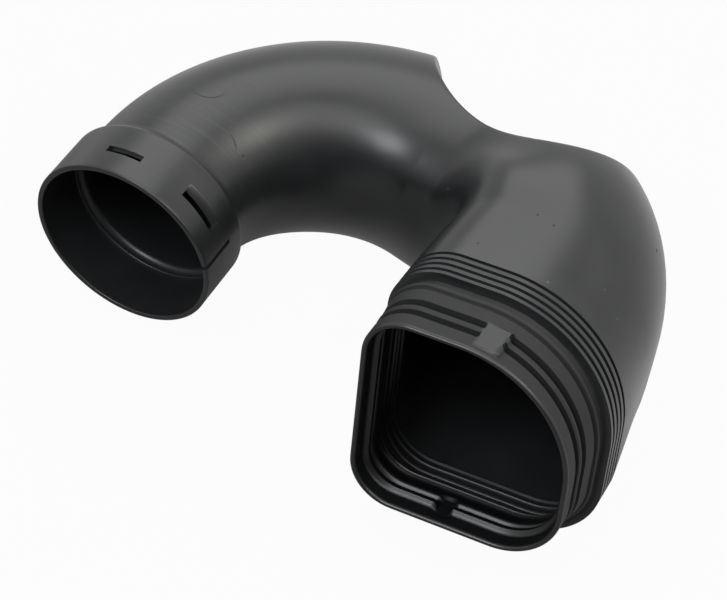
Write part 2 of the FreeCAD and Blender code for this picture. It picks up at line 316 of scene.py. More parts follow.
GROOVES = ((FLANGE, GROOVE_WIDTH, GROOVE_DEPTH), (SECOND_GROOVE, GROOVE_WIDTH, GROOVE_DEPTH),
           (BAND_END, SMALL_GROOVE_WIDTH, SMALL_GROOVE_DEPTH), (STEP_START, STEP_WIDTH, STEP_DEPTH))
# Share of the growth from the rim's size to the body's, at depths behind the mouth.
FLARE_DEPTHS = (0, FLANGE, BAND_END, STEP_START, FINE_START, RIB_LENGTH)
FLARES = (0, 0, 0.3, 0.5, 1, 1)
RIB_CROWN = 0.5
BAND_SLOPE = 0.3
SOFT_SIDE = 0.3
INSIDE_SOFTENING = 0.7
INSIDE_WIDENING = 0.6
INSIDE_FOLLOW = 0.6
LIP_ROUND = 1.6
MOUTH = run_end(COURSE[-1]) + OUTWARD * RIB_LENGTH
MOUTH_SIDE, MOUTH_UP = section_axes(OUTWARD)
FINE_LEAD = 0.3
LUG_NEAR = 3.0
LUG_FAR = 18.6
LUG_RISE = 0.6
LUG_WALL = 2.0
LUG_SOFT_END = 0.7


def soft_step(value, edge, half):
    """Smooth rise from 0 to 1 over twice a half width about an edge."""
    t = np.clip((value - edge + half) / (2 * half), 0, 1)
    return t * t * (3 - 2 * t)


def groove_cut(depth, widening, soft):
    """How far the grooves cut in at a depth behind the mouth."""
    cut = 0.0
    for start, width, deepest in GROOVES:
        rise = soft_step(depth, start - widening, soft)
        fall = soft_step(depth, start + width + widening, soft)
        cut = max(cut, deepest * rise * (1 - fall))
    return cut


def crown_cut(depth):
    """How far the rib's rounded crown and the band's slope fall below the plain surface."""
    over_rib = (depth - SECOND_GROOVE + RIB_WIDTH) / RIB_WIDTH
    over_band = (depth - SECOND_GROOVE - GROOVE_WIDTH) / BAND_WIDTH
    if 0 <= over_rib <= 1:
        return RIB_CROWN * (2 * over_rib - 1) ** 2
    if 0 <= over_band <= 1:
        return BAND_SLOPE * (1 - over_band)
    return 0.0


def lug_share(over, depth, inset):
    """Share of every column that belongs to a lug at a depth: 1 on it, 0 beside it."""
    starts = soft_step(depth, LUG_NEAR + inset, LUG_SOFT_END)
    ends = soft_step(depth, LUG_FAR - inset, LUG_SOFT_END)
    first, last = sorted(lug_angles(over))
    trim = math.degrees(inset / (RIM_HEIGHT / 2))
    opens = soft_step(COLUMNS, first + trim, LUG_SOFT_ANGLE)
    closes = soft_step(COLUMNS, last - trim, LUG_SOFT_ANGLE)
    return starts * (1 - ends) * (opens * (1 - closes))


def lug_level(over, across, rise):
    """Height of a lug's flat face, which lies flush with the rim at the lug's left edge."""
    radius = RIM_CORNERS[1]
    edge = LUG_OFFSETS[over] - LUG_WIDTH / 2
    past = edge - (RIM_WIDTH / 2 - radius)
    tilt = math.asin(past / radius) if over > 0 and past > 0 else 0.0
    seat = RIM_HEIGHT / 2 - radius * (1 - math.cos(tilt)) + rise / math.cos(tilt)
    return over * (seat - math.tan(tilt) * (across - edge))


def rib_row(depth, cut, inset):
    """One row round the ribbed end, cut below its flared surface, with the lugs raised."""
    growth = np.interp(depth, FLARE_DEPTHS, FLARES)
    half_width = (RIM_WIDTH + growth * (BODY_WIDTH - RIM_WIDTH)) / 2 - cut - inset
    half_height = (RIM_HEIGHT + growth * (BODY_HEIGHT - RIM_HEIGHT)) / 2 - cut - inset
    corners = RIM_CORNERS + growth * (BODY_CORNERS - RIM_CORNERS) - cut - inset
    reach = corner_reach(half_width, half_height, corners)
    x = COSINE * reach + growth * SIDE_SHIFTS[-1]
    y = SINE * reach + growth * LIFTS[-1]
    for over in LUG_OFFSETS:
        hollow = LUG_WALL if inset else 0.0
        share = lug_share(over, depth, hollow)
        y = y + share * (lug_level(over, x, LUG_RISE - hollow) - y)
    return MOUTH - OUTWARD * depth + x[:, None] * MOUTH_SIDE + y[:, None] * MOUTH_UP


def rib_depths(coarse_step, fine_step):
    """Depths of the rows from the rim's rounding to the body."""
    coarse = np.arange(LIP_ROUND, FINE_START - FINE_LEAD, coarse_step)
    fine = np.arange(FINE_START - FINE_LEAD, RIB_LENGTH, fine_step)
    return np.concatenate([coarse, fine, [RIB_LENGTH]])


print("ribbed end", round(RIB_LENGTH, 1), "mm long")

# %% [markdown]
# ## Rows of the collar
# The collar is a plain tube with a rounded edge, a rounded shoulder on the outside and a stop ledge
# inside, so its rows are circles. Outside and bore share the same distances from the edge, and that
# lets a slot be opened by leaving out the faces of both and joining the two holes with a wall.

# %% Rows of the collar
STOP_DEPTH = 26.0
SHOULDER_ROUND = 3.0
SHOULDER_END_ANGLE = 84
EDGE_ROUND = 0.6
LEDGE_ROUND = 0.5
THROAT_ROUND = 3.2
THROAT_RADIUS = DUCT_START_RADIUS - WALL
EDGE_ROWS, SHOULDER_ROWS, THROAT_ROWS, LEDGE_ROWS = 5, 8, 8, 4
PLAIN_DEPTHS = {2.0, 4.0, 6.0, 8.0, 17.5, 21.0, 23.0}
LAST_BORE_DEPTH = 24.0
SLOT_DEPTHS = {depth for slot in SLOTS.values() for depth in slot[2:]}
COLLAR_DEPTHS = sorted(PLAIN_DEPTHS | {SPLIT_LENGTH} | SLOT_DEPTHS)


def circle_row(radius, distance):
    """A round row about the collar's axis, at a distance from its edge."""
    side, up = section_axes(COLLAR_AXIS)
    return COLLAR_AXIS * distance + radius * (COSINE[:, None] * side + SINE[:, None] * up)


def quarter(centre_radius, centre_distance, size, start, end, steps):
    """Radius and distance pairs along a quarter round."""
    angles = np.radians(np.linspace(start, end, steps))
    return [(centre_radius + size * math.cos(angle), centre_distance + size * math.sin(angle))
            for angle in angles]


EDGE = quarter(BORE_RADIUS + EDGE_ROUND, EDGE_ROUND, EDGE_ROUND, 180, 270, EDGE_ROWS)
EDGE += quarter(COLLAR_RADIUS - EDGE_ROUND, EDGE_ROUND, EDGE_ROUND, 270, 360, EDGE_ROWS)
SHOULDER = quarter(COLLAR_RADIUS - SHOULDER_ROUND, COLLAR_LENGTH - SHOULDER_ROUND, SHOULDER_ROUND,
                   0, SHOULDER_END_ANGLE, SHOULDER_ROWS)
THROAT = quarter(THROAT_RADIUS + THROAT_ROUND, STOP_DEPTH + THROAT_ROUND, THROAT_ROUND,
                 180, 270, THROAT_ROWS)
LEDGE = quarter(BORE_RADIUS - LEDGE_ROUND, STOP_DEPTH - LEDGE_ROUND, LEDGE_ROUND, 90, 0, LEDGE_ROWS)
print(len(COLLAR_DEPTHS), "collar depths")

# %% [markdown]
# ## Weaving the shell
# The rows run out over the collar, along the duct, over the ribs and round the lip, then back along
# the inside to the bore, and the last row joins the first. A face goes between each two rows and two
# columns, apart from those that the slots and the split leave open. The rows lie closer together where
# the edge of the scoop crosses them. Each row also notes how deep it lies behind the mouth and how far
# it follows the fine ridges.

# %% All rows in order
# A zone has its first and last share of the course, and its count of rows.
ROW_ZONES = ((0.004, 0.415, 38), (0.415, 0.505, 40), (0.505, 0.655, 14), (0.655, 0.725, 32),
             (0.725, 1.0, 22))
INNER_ROWS = 50
# Steps between the rows of the ribbed end, along its coarse grooves and along its fine ridges.
OUTSIDE_STEPS = (0.3, 0.2)
INSIDE_STEPS = (0.8, 0.3)
LIP_ANGLE, LIP_ROWS = 80, 9
OUTER_SHARES = np.concatenate([np.linspace(*zone, endpoint=False) for zone in ROW_ZONES] + [[1.0]])
INNER_SHARES = np.linspace(1, 0.0, INNER_ROWS)
rows, row_depths, row_follows = [], [], []


def add_row(points, depth=-1.0, follow=0.0):
    """Append a row with its depth behind the mouth and how far it follows the fine ridges."""
    rows.append(points)
    row_depths.append(depth)
    row_follows.append(follow)
    return len(rows) - 1


for radius, distance in EDGE:
    add_row(circle_row(radius, distance))
OUTSIDE_ROWS = {depth: add_row(circle_row(COLLAR_RADIUS, depth)) for depth in COLLAR_DEPTHS}
for radius, distance in SHOULDER:
    add_row(circle_row(radius, distance))
for share in OUTER_SHARES:
    add_row(duct_row(share, 0.0))
for depth in rib_depths(*OUTSIDE_STEPS)[-2::-1]:
    cut = max(groove_cut(depth, 0, SOFT_SIDE), crown_cut(depth))
    add_row(rib_row(depth, cut, 0.0), depth, 1.0)
for angle in np.radians(np.linspace(LIP_ANGLE, -LIP_ANGLE, LIP_ROWS)):
    rise = WALL / 2 * (1 - math.sin(angle))
    add_row(rib_row(LIP_ROUND * (1 - math.cos(angle)), rise, 0.0))
FIRST_INSIDE = len(rows)
for depth in rib_depths(*INSIDE_STEPS):
    cut = INSIDE_FOLLOW * groove_cut(depth, INSIDE_WIDENING, SOFT_SIDE + INSIDE_SOFTENING)
    add_row(rib_row(depth, cut, WALL), depth, INSIDE_FOLLOW)
for share in INNER_SHARES[1:]:
    add_row(duct_row(share, WALL))
for radius, distance in THROAT + LEDGE[:-1]:
    add_row(circle_row(radius, distance))
BORE_ROWS = {depth: add_row(circle_row(BORE_RADIUS, depth))
             for depth in [LAST_BORE_DEPTH] + COLLAR_DEPTHS[::-1]}
print(len(rows), "rows")

# %% [markdown]
# ## Slots and split
# Two locating slots and a split in the edge go through the collar's wall. In the net they are blocks
# of missing faces. A wall of faces joins the hole outside to the hole in the bore, and the split also
# opens the edge itself.

# %% Faces of the shell
COUNT = len(COLUMNS)


def column_at(from_top):
    """Column that lies at an angle from the collar's top."""
    return int(np.argmin(abs(COLUMNS - collar_angle(from_top))))


def vertex(row, column):
    """Number of the vertex in a row and a column."""
    return (row % len(rows)) * COUNT + column % COUNT


def opening(first_column, last_column, depths):
    """Cells left out of the collar between two columns and depths, and the wall round the hole."""
    left_out, wall = set(), []
    for near, far in zip(depths, depths[1:]):
        for column in range(first_column, last_column):
            left_out.add((OUTSIDE_ROWS[near], column))
            left_out.add((BORE_ROWS[far], column))
        for column in (first_column, last_column):
            wall.append([(OUTSIDE_ROWS[near], column), (OUTSIDE_ROWS[far], column),
                         (BORE_ROWS[far], column), (BORE_ROWS[near], column)])
    return left_out, wall


def cross_wall(first_column, last_column, depth):
    """Wall across a hole at one depth."""
    return [[(OUTSIDE_ROWS[depth], column), (OUTSIDE_ROWS[depth], column + 1),
             (BORE_ROWS[depth], column + 1), (BORE_ROWS[depth], column)]
            for column in range(first_column, last_column)]


open_cells, walls = set(), []
for name, (start, end, near, far) in SLOTS.items():
    first, last = column_at(start), column_at(end)
    depths = [depth for depth in COLLAR_DEPTHS if near <= depth <= far]
    left_out, wall = opening(first, last, depths)
    open_cells |= left_out
    walls += wall + cross_wall(first, last, near) + cross_wall(first, last, far)
    rows[OUTSIDE_ROWS[far]][first:last + 1] += COLLAR_AXIS * SLOT_SLANTS[name]

first, last = column_at(SPLIT_ANGLE - SPLIT_HALF), column_at(SPLIT_ANGLE + SPLIT_HALF)
left_out, wall = opening(first, last, [depth for depth in COLLAR_DEPTHS if depth <= SPLIT_LENGTH])
open_cells |= left_out
walls += wall + cross_wall(first, last, SPLIT_LENGTH)
edge_rows = list(range(len(EDGE)))
nearest = COLLAR_DEPTHS[0]
for column in range(first, last):
    open_cells |= {(row, column) for row in edge_rows} | {(BORE_ROWS[nearest], column)}
for column in (first, last):
    walls.append([(row, column) for row in edge_rows + [OUTSIDE_ROWS[nearest], BORE_ROWS[nearest]]])

faces = [[vertex(row, column), vertex(row, column + 1),
          vertex(row + 1, column + 1), vertex(row + 1, column)]
         for row in range(len(rows)) for column in range(COUNT) if (row, column) not in open_cells]
faces += [[vertex(row, column) for row, column in wall] for wall in walls]
print(len(faces), "faces")

# %% [markdown]
# ## The mesh
# The woven rows become one mesh object at the origin. Point attributes store how deep a point lies
# behind the mouth, how far it follows the fine ridges and the way inwards, for the node tree that
# presses the ridges. Two more say which points lie inside and which belong to the springy end, apart
# from its upper lug, for the plastic's gloss and for the painted shade that darkens that end.

# %% Mesh object
shell_points = placed(np.concatenate(rows))
hose_mesh = bpy.data.meshes.new("intake_hose_shell")
hose_mesh.from_pydata(shell_points.tolist(), [], faces)
row_centres = np.repeat([row.mean(axis=0) for row in rows], COUNT, axis=0)
inward = (row_centres - np.concatenate(rows)) @ TURN.T
inward -= np.outer(inward @ (TURN @ OUTWARD), TURN @ OUTWARD)
inward /= np.maximum(np.linalg.norm(inward, axis=1), TINY)[:, None]
row_insides = [float(row >= FIRST_INSIDE) for row in range(len(rows))]
# The springy end, apart from its upper lug: a duller gloss and a painted shade of deeper black.
springy_and_shade = [(0 < depth < FINE_START) * (1 - lug_share(1, depth, 0.0)) for depth in row_depths]
point_values = {"depth_mm": np.repeat(row_depths, COUNT), "follow": np.repeat(row_follows, COUNT),
                "inside": np.repeat(row_insides, COUNT), "springy_and_shade": np.concatenate(springy_and_shade)}
for name, values in point_values.items():
    attribute = hose_mesh.attributes.new(name, "FLOAT", "POINT")
    attribute.data.foreach_set("value", values.astype(np.float32))
attribute = hose_mesh.attributes.new("inward", "FLOAT_VECTOR", "POINT")
attribute.data.foreach_set("vector", inward.astype(np.float32).ravel())
hose = bpy.data.objects.new("intake_hose_shell", hose_mesh)
bpy.context.scene.collection.objects.link(hose)
print("shell", len(hose_mesh.vertices), "vertices")

# %% [markdown]
# ## Colour and node helpers
# Colours are written as the eye reads them, in hex, and turned to linear light by one function. One
# more function adds a node with its settings and links, and every tree below uses it.

# %% Helpers


def linear(hex_colour):
    """Linear colour with alpha from an sRGB hex value."""
    parts = [int(hex_colour[k:k + 2], 16) / 255 for k in (1, 3, 5)]
    return [p / 12.92 if p <= 0.04045 else ((p + 0.055) / 1.055) ** 2.4 for p in parts] + [1.0]


def add(tree, kind, inputs=None, **settings):
    """Add a node, set its properties, and set or link its inputs."""
    node = tree.nodes.new(kind)
    for name, value in settings.items():
        setattr(node, name, value)
    for name, value in (inputs or {}).items():
        if isinstance(value, bpy.types.NodeSocket):
            tree.links.new(value, node.inputs[name])
        else:
            node.inputs[name].default_value = value
    return node


print("helpers ready")

# %% [markdown]
# ## The hose's plastic
# The hose is blow-moulded polypropylene, filled black. Outside it took the finely blasted face of the
# mould, so it has a satin skin with a slow, cloudy change of gloss. Inside, only air pressed on it, so
# it is a little duller and more even. The springy ribbed end holds a blend with more rubber, and looks
# duller still; it is also painted a deeper black, as painted shade for its recessed bands. Handling
# left faint rubs round the collar's end, a few dark scuffs and pale specks, and mould inserts left two
# rings. The marks are given as places on the duct, by their share of its course and their angle
# round it.

# %% Blow-moulded polypropylene
POLYPROPYLENE_INDEX = 1.49
BLACK_LOW, BLACK_HIGH = "#171819", "#212223"
# The ribbed end's deeper black is painted shade for its recessed bands.
RIB_SHADE_BLACK, RUB_GREY, SCUFF_BLACK, SPECK_GREY = "#0c0d0e", "#6a6b6c", "#0b0b0c", "#5c5d5b"
SATIN_LOW, SATIN_HIGH = 0.29, 0.37
RUBBER_ROUGHNESS, INSIDE_ROUGHNESS = 0.68, 0.38
CLOUD_SIZE = 34.0
STREAK_LENGTH, STREAK_WIDTH = 30.0, 1.2
GRAIN_SIZE, GRAIN_HEIGHT = 0.7, 0.2
WAVE_SIZE, WAVE_HEIGHT = 22.0, 1.2
# A ring has its centre and radius, then the centre and radius of the part that is seen.
RINGS = ((0.123, 86.0, 8.2, 0.104, 92.0, 10.0), (0.035, 122.0, 12.5, 0.088, 128.0, 5.5))
RING_HALF_WIDTH = 0.22
# A scuff or speck has its place and radius.
SCUFFS = ((0.893, 104.0, 0.7), (0.973, 114.0, 0.6), (0.9, 94.0, 0.7), (0.817, 38.0, 0.9),
          (0.083, 138.0, 0.8))
SPECKS = ((0.61, 140.0, 0.4), (0.99, 82.0, 0.5), (0.937, 60.0, 0.4), (0.95, 46.0, 0.4),
          (0.353, 74.0, 0.4))
SCUFF_STRENGTH, SCUFF_DULLNESS = 0.6, 0.4
RUB_PLACE, RUB_REACH, RUB_CORE = (0.06, 112.0), 42.0, 0.3
RUB_STRENGTH = 0.09


def duct_spot(share, angle):
    """Place on the outside of the duct, in metres."""
    column = int(np.argmin(abs(COLUMNS - angle)))
    return placed(duct_row(share, 0.0)[column][None])[0]


def marked(tree, place, spots):
    """1 within the given radius of any of the places on the duct, 0 elsewhere."""
    share = 0.0
    for course_share, angle, radius in spots:
        away = add(tree, "ShaderNodeVectorMath", {0: place, 1: duct_spot(course_share, angle)},
                   operation="DISTANCE").outputs["Value"]
        near = add(tree, "ShaderNodeMapRange", {"Value": away, "From Min": radius * MM,
                                                "From Max": radius * MM * 0.5}).outputs["Result"]
        share = add(tree, "ShaderNodeMath", {0: near, 1: share}, operation="MAXIMUM").outputs[0]
    return share


def blown_polypropylene():
    """Black satin plastic with cloudy gloss, a dull springy end in painted shade, rubs, mould rings, scuffs
    and specks.
    """
    material = bpy.data.materials.new("blow_moulded_polypropylene")
    material.use_nodes = True
    tree = material.node_tree
    shader = tree.nodes["Principled BSDF"]
    shader.inputs["IOR"].default_value = POLYPROPYLENE_INDEX
    place = add(tree, "ShaderNodeTexCoord").outputs["Object"]
    inside = add(tree, "ShaderNodeAttribute", attribute_name="inside").outputs["Fac"]
    springy_and_shade = add(tree, "ShaderNodeAttribute", attribute_name="springy_and_shade").outputs["Fac"]

    # Slow clouds in the black: the filler never spreads quite evenly.
    cloud = add(tree, "ShaderNodeTexNoise", {"Vector": place, "Scale": 1 / (CLOUD_SIZE * MM), "Detail": 3.0})
    tone = add(tree, "ShaderNodeValToRGB", {"Fac": cloud.outputs["Fac"]})
    tone.color_ramp.elements[0].color = linear(BLACK_LOW)
    tone.color_ramp.elements[1].color = linear(BLACK_HIGH)
    tone.color_ramp.elements[0].position = 0.3
    tone.color_ramp.elements[1].position = 0.7

    # Painted shade: the springy end is mixed to a deeper black, standing in for the shade among its bands.
    shade_blended = add(tree, "ShaderNodeMix", {"Factor": springy_and_shade, "A": tone.outputs["Color"],
                                          "B": linear(RIB_SHADE_BLACK)}, data_type="RGBA")

    # Fine rubs that run round the collar's end, where a clamp and hands went over the hose.
    around, along = 1 / (STREAK_LENGTH * MM), 1 / (STREAK_WIDTH * MM)
    stretched = add(tree, "ShaderNodeMapping", {"Vector": place, "Scale": (around, along, around)})
    streak = add(tree, "ShaderNodeTexNoise", {"Vector": stretched.outputs["Vector"], "Scale": 1.0,
                                              "Detail": 2.0})
    worn = add(tree, "ShaderNodeMapRange", {"Value": streak.outputs["Fac"], "From Min": 0.56,
                                            "From Max": 0.72})
    away = add(tree, "ShaderNodeVectorMath", {0: place, 1: duct_spot(*RUB_PLACE)}, operation="DISTANCE")
    zone = add(tree, "ShaderNodeMapRange", {"Value": away.outputs["Value"], "From Min": RUB_REACH * MM,
                                            "From Max": RUB_CORE * RUB_REACH * MM, "To Max": RUB_STRENGTH})
    rub = add(tree, "ShaderNodeMath", {0: worn.outputs["Result"], 1: zone.outputs["Result"]},
              operation="MULTIPLY")
    rubbed = add(tree, "ShaderNodeMix", {"Factor": rub.outputs[0], "A": shade_blended.outputs["Result"],
                                         "B": linear(RUB_GREY)}, data_type="RGBA")

    # Thin dark rings where a mould insert met the mould, each seen over part of its round only.
    ring = 0.0
    for share, angle, radius, seen_share, seen_angle, reach in RINGS:
        away = add(tree, "ShaderNodeVectorMath", {0: place, 1: duct_spot(share, angle)},
                   operation="DISTANCE")
        line = add(tree, "ShaderNodeMath", {0: away.outputs["Value"], 1: radius * MM,
                                            2: RING_HALF_WIDTH * MM}, operation="COMPARE")
        part = marked(tree, place, ((seen_share, seen_angle, reach),))
        line = add(tree, "ShaderNodeMath", {0: line.outputs[0], 1: part}, operation="MULTIPLY")
        ring = add(tree, "ShaderNodeMath", {0: line.outputs[0], 1: ring}, operation="MAXIMUM").outputs[0]
    scuff = add(tree, "ShaderNodeMath", {0: ring, 1: marked(tree, place, SCUFFS)}, operation="MAXIMUM")
    scuffed = add(tree, "ShaderNodeMath", {0: scuff.outputs[0], 1: SCUFF_STRENGTH}, operation="MULTIPLY")
    darkened = add(tree, "ShaderNodeMix", {"Factor": scuffed.outputs[0], "A": rubbed.outputs["Result"],
                                           "B": linear(SCUFF_BLACK)}, data_type="RGBA")
    speck = marked(tree, place, SPECKS)
    specked = add(tree, "ShaderNodeMix", {"Factor": speck, "A": darkened.outputs["Result"],
                                          "B": linear(SPECK_GREY)}, data_type="RGBA")
    tree.links.new(specked.outputs["Result"], shader.inputs["Base Color"])

    # Satin outside, with dull scuffs, a duller springy end, and one even gloss inside.
    gloss = add(tree, "ShaderNodeMapRange", {"Value": cloud.outputs["Fac"], "From Min": 0.25,
                                             "From Max": 0.75, "To Min": SATIN_LOW, "To Max": SATIN_HIGH})
    duller = add(tree, "ShaderNodeMath", {0: scuff.outputs[0], 1: SCUFF_DULLNESS, 2: gloss.outputs["Result"]},
                 operation="MULTIPLY_ADD")
    rubbery = add(tree, "ShaderNodeMix", {0: springy_and_shade, 2: duller.outputs[0], 3: RUBBER_ROUGHNESS},
                  data_type="FLOAT")
    roughness = add(tree, "ShaderNodeMix", {0: inside, 2: rubbery.outputs[0], 3: INSIDE_ROUGHNESS},
                    data_type="FLOAT")
    tree.links.new(roughness.outputs[0], shader.inputs["Roughness"])

    # Fine grain of the blasted mould, and the slow waviness of a blown wall. The real grain is near
    # 0.1 mm, too fine to show, so it is drawn coarser.
    grain = add(tree, "ShaderNodeTexNoise", {"Vector": place, "Scale": 1 / (GRAIN_SIZE * MM), "Detail": 2.0})
    fine = add(tree, "ShaderNodeBump", {"Height": grain.outputs["Fac"], "Strength": 0.05,
                                        "Distance": GRAIN_HEIGHT * MM})
    wave = add(tree, "ShaderNodeTexNoise", {"Vector": place, "Scale": 1 / (WAVE_SIZE * MM), "Detail": 1.0})
    broad = add(tree, "ShaderNodeBump", {"Height": wave.outputs["Fac"], "Strength": 0.15,
                                         "Distance": WAVE_HEIGHT * MM, "Normal": fine.outputs["Normal"]})
    tree.links.new(broad.outputs["Normal"], shader.inputs["Normal"])
    return material


plastic = blown_polypropylene()
print("material", plastic.name)

# %% [markdown]
# ## Fine ridges by a node tree
# Four fine ridges follow one rule: the same ridge and groove, over and over. A Geometry Nodes tree
# reads how deep each point lies behind the mouth, folds that depth to its distance from the nearest
# groove and presses the point inwards there. Pitch, groove widths and depth are its named inputs.

# %% Ridge tree
TOP_WIDENING, FLOOR_NARROWING = 0.15, 0.35
RIDGE_INPUTS = {
    "First Groove": FINE_START + FINE_RIDGE_WIDTH + FINE_GROOVE_WIDTH / 2,
    "Half Pitch": FINE_PITCH / 2,
    "Half Width Top": FINE_GROOVE_WIDTH / 2 + TOP_WIDENING,
    "Half Width Floor": FINE_GROOVE_WIDTH / 2 - FLOOR_NARROWING,
    "Groove Depth": FINE_GROOVE_DEPTH * MM,
    "Middle": FINE_START + FINE_RIDGES * FINE_PITCH / 2,
    "Reach": FINE_RIDGES * FINE_PITCH / 2,
}


def ridge_tree():
    """Node tree that presses evenly pitched grooves into a shell."""
    tree = bpy.data.node_groups.new("fine_ridges", "GeometryNodeTree")
    tree.interface.new_socket("Geometry", in_out="INPUT", socket_type="NodeSocketGeometry")
    for name in RIDGE_INPUTS:
        tree.interface.new_socket(name, in_out="INPUT", socket_type="NodeSocketFloat")
    tree.interface.new_socket("Plastic", in_out="INPUT", socket_type="NodeSocketMaterial")
    tree.interface.new_socket("Geometry", in_out="OUTPUT", socket_type="NodeSocketGeometry")
    given = add(tree, "NodeGroupInput").outputs
    depth = add(tree, "GeometryNodeInputNamedAttribute", {"Name": "depth_mm"}, data_type="FLOAT")
    follow = add(tree, "GeometryNodeInputNamedAttribute", {"Name": "follow"}, data_type="FLOAT")
    inwards = add(tree, "GeometryNodeInputNamedAttribute", {"Name": "inward"}, data_type="FLOAT_VECTOR")

    past = add(tree, "ShaderNodeMath", {0: depth.outputs["Attribute"], 1: given["First Groove"]},
               operation="SUBTRACT")
    off_groove = add(tree, "ShaderNodeMath", {0: past.outputs[0], 1: given["Half Pitch"]},
                     operation="PINGPONG")
    groove = add(tree, "ShaderNodeMapRange", {"Value": off_groove.outputs[0],
                                              "From Min": given["Half Width Top"],
                                              "From Max": given["Half Width Floor"],
                                              "To Max": given["Groove Depth"]},
                 interpolation_type="SMOOTHSTEP")
    among = add(tree, "ShaderNodeMath", {0: depth.outputs["Attribute"], 1: given["Middle"],
                                         2: given["Reach"]}, operation="COMPARE")
    share = add(tree, "ShaderNodeMath", {0: among.outputs[0], 1: follow.outputs["Attribute"]},
                operation="MULTIPLY")
    press = add(tree, "ShaderNodeMath", {0: groove.outputs["Result"], 1: share.outputs[0]},
                operation="MULTIPLY")
    offset = add(tree, "ShaderNodeVectorMath", {0: inwards.outputs["Attribute"], "Scale": press.outputs[0]},
                 operation="SCALE")
    pressed = add(tree, "GeometryNodeSetPosition", {"Geometry": given["Geometry"],
                                                    "Offset": offset.outputs["Vector"]})
    real = add(tree, "GeometryNodeRealizeInstances", {"Geometry": pressed.outputs["Geometry"]})
    dressed = add(tree, "GeometryNodeSetMaterial", {"Geometry": real.outputs["Geometry"],
                                                    "Material": given["Plastic"]})
    add(tree, "NodeGroupOutput", {"Geometry": dressed.outputs["Geometry"]})
    return tree


print("ridge tree inputs", ", ".join(RIDGE_INPUTS))

# %% [markdown]
# ## Pressing the ridges
# The tree runs once on the shell and its result is kept as a plain mesh. Faces are turned outwards,
# and only edges that turn sharply, such as those of the slots, stay crisp.

# %% Pressed shell
SHARP_ANGLE = 50


def press_ridges(shell):
    """Run the ridge tree on a shell and keep its result as a plain mesh."""
    modifier = shell.modifiers.new("fine_ridges", "NODES")
    modifier.node_group = ridge_tree()
    values = {**RIDGE_INPUTS, "Plastic": plastic}
    for item in modifier.node_group.interface.items_tree:
        if item.name in values:
            modifier[item.identifier] = values[item.name]
    evaluated = shell.evaluated_get(bpy.context.evaluated_depsgraph_get())
    mesh = bpy.data.meshes.new_from_object(evaluated)
    shell.modifiers.remove(modifier)
    shell.data = mesh
    return mesh


ribbed_mesh = press_ridges(hose)
net = bmesh.new()
net.from_mesh(ribbed_mesh)
bmesh.ops.recalc_face_normals(net, faces=net.faces)
open_edges = sum(not edge.is_manifold for edge in net.edges)
net.to_mesh(ribbed_mesh)
print("triangles", len(net.calc_loop_triangles()), "open edges", open_edges)
net.free()
ribbed_mesh.polygons.foreach_set("use_smooth", [True] * len(ribbed_mesh.polygons))
ribbed_mesh.set_sharp_from_angle(angle=math.radians(SHARP_ANGLE))
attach(hose, "root")
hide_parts("intake_hose")

# %% [markdown]
# ## Floor
# The hose was photographed on a white table. The camera and glass rays see the floor as plain white,
# while its paper keeps the shadow. Mirror rays see it white only towards the back: the front of the
# table lies in the dark of the room, and a white one there would lay a grey veil over the plastic.

# %% White table
FLOOR_HALF = 6.0
PAPER_GREY, PAPER_ROUGHNESS = "#828280", 0.9
TABLE_WHITE, TABLE_IN_MIRROR = 0.96, 0.1
TABLE_BACK_WAY = (75.0, 0.0)
TABLE_FRONT, TABLE_BACK = -0.03, 0.1


def seen_rays(tree, names):
    """1 for rays of the named kinds, 0 for the others."""
    path = add(tree, "ShaderNodeLightPath").outputs
    share = path[names[0]]
    for name in names[1:]:
        share = add(tree, "ShaderNodeMath", {0: share, 1: path[name]}, operation="MAXIMUM").outputs[0]
    return share


def white_paper():
    """Paper that looks white to the camera, holds a soft shadow and dims to the front in mirror rays."""
    material = bpy.data.materials.new("white_paper")
    material.use_nodes = True
    tree = material.node_tree
    shader = tree.nodes["Principled BSDF"]
    shader.inputs["Base Color"].default_value = linear(PAPER_GREY)
    shader.inputs["Roughness"].default_value = PAPER_ROUGHNESS
    glow = add(tree, "ShaderNodeEmission", {"Color": linear("#ffffff"), "Strength": 1.0})
    white = seen_rays(tree, ["Is Camera Ray", "Is Transmission Ray"])
    mirrored = seen_rays(tree, ["Is Glossy Ray"])
    spot = add(tree, "ShaderNodeNewGeometry").outputs["Position"]
    behind = add(tree, "ShaderNodeVectorMath", {0: spot, 1: direction(*TABLE_BACK_WAY)},
                 operation="DOT_PRODUCT")
    level = add(tree, "ShaderNodeMapRange", {"Value": behind.outputs["Value"], "From Min": TABLE_FRONT,
                                             "From Max": TABLE_BACK, "To Min": TABLE_IN_MIRROR,
                                             "To Max": TABLE_WHITE})
    dim = add(tree, "ShaderNodeMath", {0: mirrored, 1: level.outputs["Result"]}, operation="MULTIPLY")
    most = add(tree, "ShaderNodeMath", {0: white, 1: TABLE_WHITE, 2: dim.outputs[0]},
               operation="MULTIPLY_ADD")
    seen = add(tree, "ShaderNodeMixShader", {0: most.outputs[0], 1: shader.outputs[0], 2: glow.outputs[0]})
    tree.links.new(seen.outputs[0], tree.nodes["Material Output"].inputs["Surface"])
    return material


floor_mesh = bpy.data.meshes.new("floor")
floor_corners = [(x * FLOOR_HALF, y * FLOOR_HALF, 0) for x, y in ((-1, -1), (1, -1), (1, 1), (-1, 1))]
floor_mesh.from_pydata(floor_corners, [], [(0, 1, 2, 3)])
floor_mesh.materials.append(white_paper())
floor = bpy.data.objects.new("floor", floor_mesh)
bpy.context.scene.collection.objects.link(floor)
print("floor", 2 * FLOOR_HALF, "m wide")

# %% [markdown]
# ## Backdrop
# Behind the hose stands a white backdrop, and behind the camera lies a dark room. The world fades from
# one to the other, so that the plastic has something light and something dark to mirror. The camera
# and glass rays see it as plain white, and it lights the hose at half that level.

